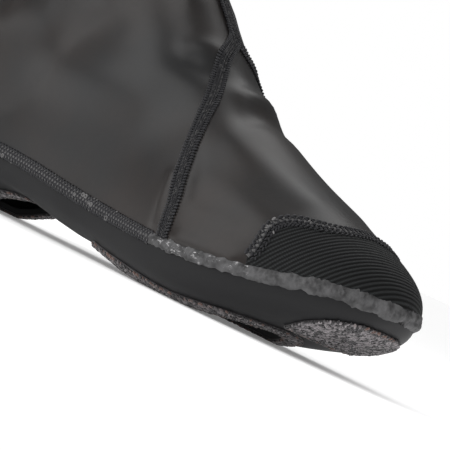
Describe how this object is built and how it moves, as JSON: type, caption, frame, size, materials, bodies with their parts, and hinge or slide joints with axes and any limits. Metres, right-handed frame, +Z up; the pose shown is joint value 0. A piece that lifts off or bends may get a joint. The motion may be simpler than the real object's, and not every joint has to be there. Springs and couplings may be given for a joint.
{
  "type": "cycling overshoe",
  "caption": "Stretch overshoe worn over a cycling shoe: hollow coated upper, sole panel with knit-edged cleat and heel openings, ribbed toe cap, sealed and taped seams.",
  "frame": {"origin": "middle of the bounding box's footprint, on the floor that the knit under the sole stands on", "axes": "+X to the toe, +Y to the inner side of the right foot, +Z up the leg"},
  "size_m": [0.2948, 0.1032, 0.2061],
  "materials": {
    "upper": "satin coated stretch fabric",
    "sole_panel": "smooth matt coated neoprene",
    "toe_cap": "ribbed woven",
    "toe_seal": "lumpy matt sealant",
    "lower_seam_stitching": "flat-locked thread",
    "side_seam_tape_lateral": "overlocked tape",
    "side_seam_tape_medial": "overlocked tape",
    "front_seam_tape": "overlocked tape",
    "cleat_opening_knit": "coarse looped knit",
    "heel_opening_knit": "coarse looped knit",
    "toe_knit_patch": "coarse looped knit"
  },
  "bodies": {
    "root": {"upper": "upper", "sole_panel": "sole_panel", "toe_cap": "toe_cap", "toe_seal": "toe_seal", "lower_seam_stitching": "lower_seam_stitching", "side_seam_tape_lateral": "side_seam_tape_lateral", "side_seam_tape_medial": "side_seam_tape_medial", "front_seam_tape": "front_seam_tape", "cleat_opening_knit": "cleat_opening_knit", "heel_opening_knit": "heel_opening_knit", "toe_knit_patch": "toe_knit_patch"}
  },
  "joints": []
}
